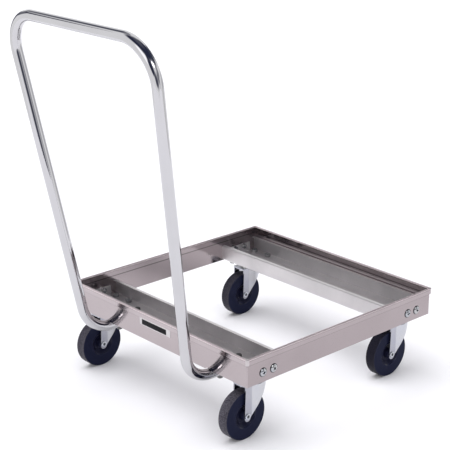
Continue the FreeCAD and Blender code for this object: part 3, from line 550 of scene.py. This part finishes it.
def bent_path(corners, bends, arc_points=36, run_points=10):
    """The centre line through the corners, each rounded by an arc that touches both runs: from the
    touching point p, with u along the run and v square to it towards the next run, the arc is
    p + r (u sin s + v (1 - cos s)). Gives the points and unit tangents as arrays."""
    points, tangents = [], []
    start = corners[0]
    for before, corner, after, radius in zip(corners, corners[1:], corners[2:], bends):
        into = (corner - before) / np.linalg.norm(corner - before)
        out = (after - corner) / np.linalg.norm(after - corner)
        turn = math.acos(float(into @ out))
        touch = corner - into * radius * math.tan(turn / 2)
        inwards = out - into * math.cos(turn)
        inwards /= np.linalg.norm(inwards)
        run = np.linspace(0, 1, run_points, endpoint=False)[:, None]
        points.append(start + (touch - start) * run)
        tangents.append(np.broadcast_to(into, (run_points, 3)))
        sweep = np.linspace(0, turn, arc_points, endpoint=False)[:, None]
        points.append(touch + radius * (into * np.sin(sweep) + inwards * (1 - np.cos(sweep))))
        tangents.append(into * np.cos(sweep) + inwards * np.sin(sweep))
        start = corner + out * radius * math.tan(turn / 2)
    run = np.linspace(0, 1, run_points + 1)[:, None]
    points.append(start + (corners[-1] - start) * run)
    tangents.append(np.broadcast_to(out, (run_points + 1, 3)))
    return np.concatenate(points), np.concatenate(tangents)


def tube_rings(path, tangents, outside, inside, turns=64):
    """A tube along a path: each ring is p + r (n cos t + b sin t), with n square to the tangent and
    to a direction that no part of the path follows. The outer rings run forwards and the inner ones
    back."""
    n = np.cross(tangents, np.array([0, 1, 1]) / math.sqrt(2))
    n /= np.linalg.norm(n, axis=1, keepdims=True)
    b = np.cross(tangents, n)
    angle = np.linspace(0, 2 * np.pi, turns, endpoint=False)[:, None]
    circle = n[:, None] * np.cos(angle) + b[:, None] * np.sin(angle)
    centre = path[:, None]
    return np.concatenate([centre + outside * circle, (centre + inside * circle)[::-1]])


foot_z = handle_low.z + tube_radius
grip_y, grip_z = handle_low.y + tube_radius, handle_high.z - tube_radius
right_leg = [(foot_x, handle_high.y, foot_z), (foot_x, foot_corner_y, foot_z),
             (grip_x, grip_y, grip_z)]
corners = np.array(right_leg + [(-x, y, z) for x, y, z in reversed(right_leg)])
path, tangents = bent_path(corners, (foot_bend, grip_bend, grip_bend, foot_bend))
handle = skin_of_rings("handle", [
    tube_rings(path, tangents, tube_radius, tube_radius - tube_wall)], looped=True)
material, tree, shader = finish("polished_chrome", 1.0)
hands = add_effect(tree, MARKS, Scale=16.0)
vary_colour(tree, shader, hands, (0.555, 0.551, 0.567), (0.58, 0.576, 0.592))
vary_roughness(tree, shader, hands, 0.03, 0.075)
emboss(tree, shader, add_effect(tree, MARKS, Scale=90.0), 0.000006)
put(handle, "frame", material)
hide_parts("handle_tube")

# Casters: each has a pressed top plate with the upper ball race, a stamped fork that turns on a
# riveted kingpin, and a wheel on a bushing. The steel is zinc plated, and the balls are polished. A
# fork's colour is painted brighter outside its cheeks than between them, a painted reflection of
# the lit and the shaded floor that its faces mirror.
kingpin_x, fold_reach, flat_reach = 0.228, 0.0176, 0.0183
fork_zinc = zinc_plate("bright_zinc_fork", 0.16, (0.53, 0.54, 0.57), (0.58, 0.58, 0.575))
tree = fork_zinc.node_tree
from_middle = reckoned(tree, "ABSOLUTE", object_axes(tree)["X"])
from_kingpin = reckoned(tree, "ABSOLUTE", reckoned(tree, "SUBTRACT", from_middle, kingpin_x))
flat = ranged(tree, from_kingpin, fold_reach, flat_reach)
# Painted reflection: the zinc's colour darker between the cheeks, brighter outside them.
painted_reflection = mixed(tree, flat, (0.757, 0.755, 0.825), (0.995, 0.995, 1.025))
base = tree.nodes["Principled BSDF"].inputs["Base Color"]
feed(tree, base, mixed(tree, 1.0, base.links[0].from_socket, painted_reflection, "MULTIPLY"))
plate_zinc = zinc_plate("bright_zinc_plate", 0.34)
pin_zinc = zinc_plate("bright_zinc_pins", 0.22)
polished, tree, shader = finish("polished_balls", 1.0)
oil = add_effect(tree, MARKS, Scale=300.0)
vary_colour(tree, shader, oil, (0.5, 0.49, 0.47), (0.6, 0.6, 0.61))
vary_roughness(tree, shader, oil, 0.06, 0.2)
for name in CASTERS:
    dress(f"{name}_fork", fork_zinc)
    dress(f"{name}_top_plate", plate_zinc)
    for pin in ("kingpin", "thrust_washer", "axle_bushing"):
        dress(f"{name}_{pin}", pin_zinc)
    dress(f"{name}_load_balls", polished)

# Axle rivets: tubular steel rivets through the fork and the bushing, with both ends rolled out over
# the cheeks into a round lip about a hollow. The hollow, the lip's inner side and the head's edge
# are painted darker as painted shade.
rivet_shank, rivet_height = 0.00395, 0.0022
rivet_zinc = zinc_with_painted_shade("bright_zinc_rivets", 0.26, (0.60, 0.63, 0.70), (0.66, 0.67, 0.68))


def rivet_rings(cheek, end, shank, head, turns=64):
    """A rivet along x, the same at both ends: from the hollow's bottom out over a lip, whose
    section is a half ellipse, to the head's edge on the cheek, then the shank. Also gives the
    painted shade, in the hollow and at the edge."""
    hollow, hollow_depth, lip_inside, lip_height = 0.0024, 0.002, 0.0027, 0.0012
    unshaded_from, fade, in_hollow, at_edge = 0.0038, 0.0013, 0.85, 0.5
    sweep = np.linspace(np.pi, 0, 14)
    lip = lip_inside + (head - lip_inside) / 2
    x = end - lip_height + lip_height * np.sin(sweep)
    r = lip + (head - lip) * np.cos(sweep)
    side = [(end - hollow_depth, TIP), (end - hollow_depth, hollow)]
    side += list(zip(x, r)) + [(cheek, head), (cheek, shank)]
    # Painted shade: strong in the hollow, fading out across the lip, and half at the head's edge.
    on_lip = np.clip((unshaded_from - r) / fade, 0, 1)
    painted_shade = np.array([in_hollow, in_hollow, *on_lip, at_edge, 0])
    rings = turned_rings(side + [(-a, b) for a, b in reversed(side)], turns)
    return rings, np.repeat(np.concatenate([painted_shade, painted_shade[::-1]]), turns)


for name in CASTERS:
    low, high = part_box(f"{name}_axle_rivet")
    end = (high.x - low.x) / 2
    rings, painted_shade = rivet_rings(end - rivet_height, end, rivet_shank, (high.z - low.z) / 2)
    centre = np.array((low + high) / 2)
    piece = skin_of_rings(f"{name}_rolled_rivet", [rings + centre], looped=False)
    set_painted_shade(piece, painted_shade)
    put(piece, f"{name}_swivel", rivet_zinc)
    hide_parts(f"{name}_axle_rivet")

# Wheel cores: hub, web and rim moulded in one piece from black plastic, with a round recess in each
# side and a bore that runs on the bushing.
rim_end, web_end, core_bore, hub, recess, edge_round = 0.0105, 0.004, 0.0056, 0.01, 0.017, 0.00038
material, tree, shader = finish("moulded_core", 0.0)
flow = add_effect(tree, MARKS, Scale=60.0)
vary_colour(tree, shader, flow, (0.010, 0.0105, 0.027), (0.0125, 0.0135, 0.034))
vary_roughness(tree, shader, flow, 0.3, 0.38)
shader.inputs["Specular IOR Level"].default_value = 0.08
emboss(tree, shader, add_effect(tree, MARKS, Scale=900.0), 0.00004)


def round_edges(piece, width):
    """A narrow rounding on every sharp edge."""
    bevel = piece.modifiers.new("rounded_edges", "BEVEL")
    bevel.width = width
    bevel.segments = 2
    bevel.limit_method = "ANGLE"
    bevel.angle_limit = SHARP
    bevel.harden_normals = True


def core_rings(hub_end, outside):
    """Half a core's section, from the bore over the hub's end, down its drafted side to the web,
    along the web and up the sloping recess to the rim, mirrored and closed into a loop."""
    draft, slope = 0.001, 0.0072
    side = [(hub_end, core_bore), (hub_end, hub), (web_end, hub + draft), (web_end, recess),
            (rim_end, recess + slope), (rim_end, outside)]
    return turned_rings(side + [(-a, r) for a, r in reversed(side)], turns=96)


for name in CASTERS:
    low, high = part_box(f"{name}_wheel_core")
    rings = core_rings((high.x - low.x) / 2, (high.z - low.z) / 2)
    piece = skin_of_rings(f"{name}_core", [rings + np.array((low + high) / 2)], looped=True)
    round_edges(piece, edge_round)
    put(piece, f"{name}_wheel", material)
    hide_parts(f"{name}_wheel_core")

# Tyres: hard rubber moulded round the cores, flat-sided and flat-treaded with crisp edges. The
# sides keep the mould's low sheen, the edges are rubbed shiny, and the tread is greyed by dust from
# the floor and painted darker than the sides as painted shade. A piece's wear holds its dust, its
# rubbed edge and its tread.
tyre_bore, tyre_shoulder, tread_start, tread_fade = 0.02505, 0.0015, 0.0012, 0.001
# Dust on each tyre's tread, in the order of CASTERS: real dust, kept lowest on the rear right so
# that its tread stays dark as painted shade.
dust_and_shade_of_tyre, outer_dust, inner_gain = (0.75, 1.0, 0.4, 0.08), 0.62, 0.38
material, tree, shader = finish("black_rubber", 0.0)
worn = tree.nodes.new("ShaderNodeAttribute")
worn.attribute_name = "wear"
kinds = tree.nodes.new("ShaderNodeSeparateColor")
tree.links.new(worn.outputs["Color"], kinds.inputs[0])
dust_mask, edge_mask, tread_mask = kinds.outputs
specks = reckoned(tree, "MULTIPLY", dust_mask, add_effect(tree, MARKS, Scale=620.0))
# Painted shade: the tread's colour is darker and less blue than the sides'.
bare_with_tread_shade = mixed(tree, tread_mask, (0.0085, 0.0105, 0.031), (0.0055, 0.005, 0.012))
vary_colour(tree, shader, specks, bare_with_tread_shade, (0.16, 0.15, 0.18))
vary_roughness(tree, shader, edge_mask, 0.45, 0.22)
feed(tree, shader.inputs["Coat Weight"], ranged(tree, edge_mask, 0.0, 1.0, 0.0, 0.45))
shader.inputs["Coat Roughness"].default_value = 0.22
shader.inputs["Specular IOR Level"].default_value = 0.07
emboss(tree, shader, add_effect(tree, MARKS, Scale=500.0), 0.00005)


def tyre_rings(half, rim, bore, tread, shoulder):
    """A tyre's section round the loop: the bore, a bevel, the flat side, a quarter-round edge of
    the given radius and the flat tread, mirrored. Also gives each ring's share of rubbed edge."""
    bevel, bevel_end = bore + 0.0014, bore + 0.0022
    sweep = np.linspace(0, np.pi / 2, 14)
    x = half - shoulder + shoulder * np.cos(sweep)
    r = tread - shoulder + shoulder * np.sin(sweep)
    side = [(rim, bore), (half, bevel), (half, bevel_end), (half, (bore + tread - shoulder) / 2)]
    side += list(zip(x, r))
    rubbed = [1, 1, 0, 0] + list(np.sin(2 * sweep))
    rings = turned_rings(side + [(-a, b) for a, b in reversed(side)], turns=160)
    return rings, np.array(rubbed + rubbed[::-1])


for name, dust_and_shade_share in zip(CASTERS, dust_and_shade_of_tyre):
    low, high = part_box(f"{name}_tyre")
    tread = (high.z - low.z) / 2
    rings, rubbed = tyre_rings((high.x - low.x) / 2, rim_end, tyre_bore, tread, tyre_shoulder)
    piece = skin_of_rings(f"{name}_rubber", [rings + np.array((low + high) / 2)], looped=True)
    below_tread = tread - np.hypot(rings[..., 1], rings[..., 2])
    on_tread = np.clip((tread_start - below_tread) / tread_fade, 0, 1)
    inward = 0.5 - 0.5 * rings[..., 0] / rings[..., 0].max() * np.sign(low.x)
    dust = on_tread * dust_and_shade_share * (outer_dust + inner_gain * inward)
    shine = np.broadcast_to(rubbed[:, None], on_tread.shape)
    wear = np.stack([dust, shine, on_tread, np.ones_like(on_tread)], -1)
    layer = piece.data.attributes.new("wear", "FLOAT_COLOR", "POINT")
    layer.data.foreach_set("color", wear.astype(np.float32).ravel())
    put(piece, f"{name}_wheel", material)
    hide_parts(f"{name}_tyre")

# Floor: a pale sheet that ends a little in front of the dolly, so that the chrome mirrors its edge.
# It lies square to the camera and is a plain matt white.
camera_turn, front_reach, back_reach, side_reach = math.radians(47.69), 1.5, 8.0, 1.5
camera_way = np.array([math.sin(camera_turn), -math.cos(camera_turn), 0])
across = np.array([-camera_way[1], camera_way[0], 0])
floor_corners = [camera_way * front + across * side for front, side in (
    (front_reach, side_reach), (front_reach, -side_reach),
    (-back_reach, -side_reach), (-back_reach, side_reach))]
mesh = bpy.data.meshes.new("floor")
mesh.from_pydata([corner.tolist() for corner in floor_corners], [], [(0, 1, 2, 3)])
floor = bpy.data.objects.new("floor", mesh)
bpy.context.scene.collection.objects.link(floor)
material, tree, shader = finish("pale_floor", 0.0)
shader.inputs["Specular IOR Level"].default_value = 0.0
clouds = add_effect(tree, MARKS, Scale=2.0)
vary_colour(tree, shader, clouds, (0.80, 0.797, 0.83), (0.82, 0.817, 0.85))
shader.inputs["Roughness"].default_value = 0.9
mesh.materials.append(material)

# Studio: white all round, and for the metal to mirror, a dark ceiling, dark openings in the white
# and two soft boxes. A wide soft lamp overhead, which the metal does not mirror, lights the floor.
sun_strength, sun_spread, sun_way = 1.5, math.radians(50), Vector((0.22, 0.20, -1.0))
white, zenith, navy = (1.06, 1.06, 1.07), (0.115, 0.12, 0.155), (0.03, 0.036, 0.075)
world = bpy.data.worlds.new("studio")
bpy.context.scene.world = world
world.use_nodes = True
tree = world.node_tree
backdrop = tree.nodes["Background"]
feed(tree, backdrop.inputs["Color"], (1, 1, 1))
way = tree.nodes.new("ShaderNodeTexCoord")


def patches(rows):
    """The product of round patches of the surroundings, each 1 outside its edge and a given value
    inside its core. A row is the bearing to the right of the camera's side, the rise, the radius of
    the core and of the edge, all in degrees, and the value."""
    product = 1.0
    for *angles, value in rows:
        bearing, rise, core, edge = (math.radians(angle) for angle in angles)
        level = camera_way * math.cos(bearing) + across * math.sin(bearing)
        towards = tree.nodes.new("ShaderNodeVectorMath")
        towards.operation = "DOT_PRODUCT"
        towards.inputs[1].default_value = level * math.cos(rise) + UP * math.sin(rise)
        tree.links.new(way.outputs["Generated"], towards.inputs[0])
        patch = ranged(tree, towards.outputs["Value"], math.cos(edge), math.cos(core), 1.0, value,
                       curve="SMOOTHSTEP")
        product = reckoned(tree, "MULTIPLY", patch, product)
    return product


overhead = [(19, 71, 26.5, 46.5, 0.0), (95.5, 50.5, 20, 32, 0.03), (-64.5, 61, 15.5, 31.5, 0.0),
            (-32, 46.5, 2.5, 19.5, 0.23), (122, 59.5, 10, 21, 0.3), (-142, 51, 15, 19.5, 0.33),
            (-143.5, 39.5, 6, 18.5, 0.27)]
camera_side = [(-17, 5.5, 9.5, 17.5, 0.0), (-4, 13, 8.5, 25, 0.0), (-2, 30.5, 12, 15.5, 0.05),
               (3, -13, 8, 15, 0.11), (19, -9, 2, 25, 0.1)]
right_side = [(69, 17, 2.5, 18, 0.22), (50, 2, 5, 18.5, 0.19), (57, -15.5, 6.5, 9.5, 0.8),
              (116.5, -1.5, 8, 14.5, 0.57), (99, -11.5, 9, 15.5, 0.7)]
far_side = [(133, 29.5, 9.5, 13, 0.0), (139, 29, 4, 9, 0.1), (152, 13.5, 6, 11, 0.0),
            (170, 4, 4, 9, 0.3), (-115, 24.5, 3, 7, 0.0), (-126, 17.5, 11.5, 17, 0.18),
            (-144.5, 1, 2, 19, 0.0)]
soft_boxes = [(37, 31, 2, 9, 11.5), (-42.5, 20, 13, 22.5, 1.6)]
dark = mixed(tree, patches([(0, 90, 2, 28, 0.0)]), zenith, navy)
surroundings = mixed(tree, patches(overhead + camera_side + right_side + far_side), dark, white)
mirrored = tree.nodes.new("ShaderNodeBackground")
feed(tree, mirrored.inputs["Color"], surroundings)
feed(tree, mirrored.inputs["Strength"], patches(soft_boxes))
seen = tree.nodes.new("ShaderNodeLightPath")
choose = tree.nodes.new("ShaderNodeMixShader")
tree.links.new(seen.outputs["Is Glossy Ray"], choose.inputs["Fac"])
tree.links.new(backdrop.outputs[0], choose.inputs[1])
tree.links.new(mirrored.outputs[0], choose.inputs[2])
tree.links.new(choose.outputs[0], tree.nodes["World Output"].inputs["Surface"])

light = bpy.data.lights.new("overhead", "SUN")
light.energy = sun_strength
light.angle = sun_spread
lamp = bpy.data.objects.new("overhead", light)
lamp.rotation_euler = sun_way.to_track_quat("-Z", "Y").to_euler()
lamp.visible_glossy = False
bpy.context.scene.collection.objects.link(lamp)

# Camera: at the photograph's height and angle, well above the grip and looking down over the near
# corner of the tray.
camera_down = math.radians(19.15)
camera = bpy.data.cameras.new("camera")
camera.lens = 103.36
camera.sensor_width = 36.0
holder = bpy.data.objects.new("camera", camera)
holder.location = (1.865, -1.68625, 1.216)
holder.rotation_euler = (math.pi / 2 - camera_down, 0, camera_turn)
bpy.context.scene.collection.objects.link(holder)
bpy.context.scene.camera = holder
bpy.context.scene.view_settings.view_transform = "Standard"
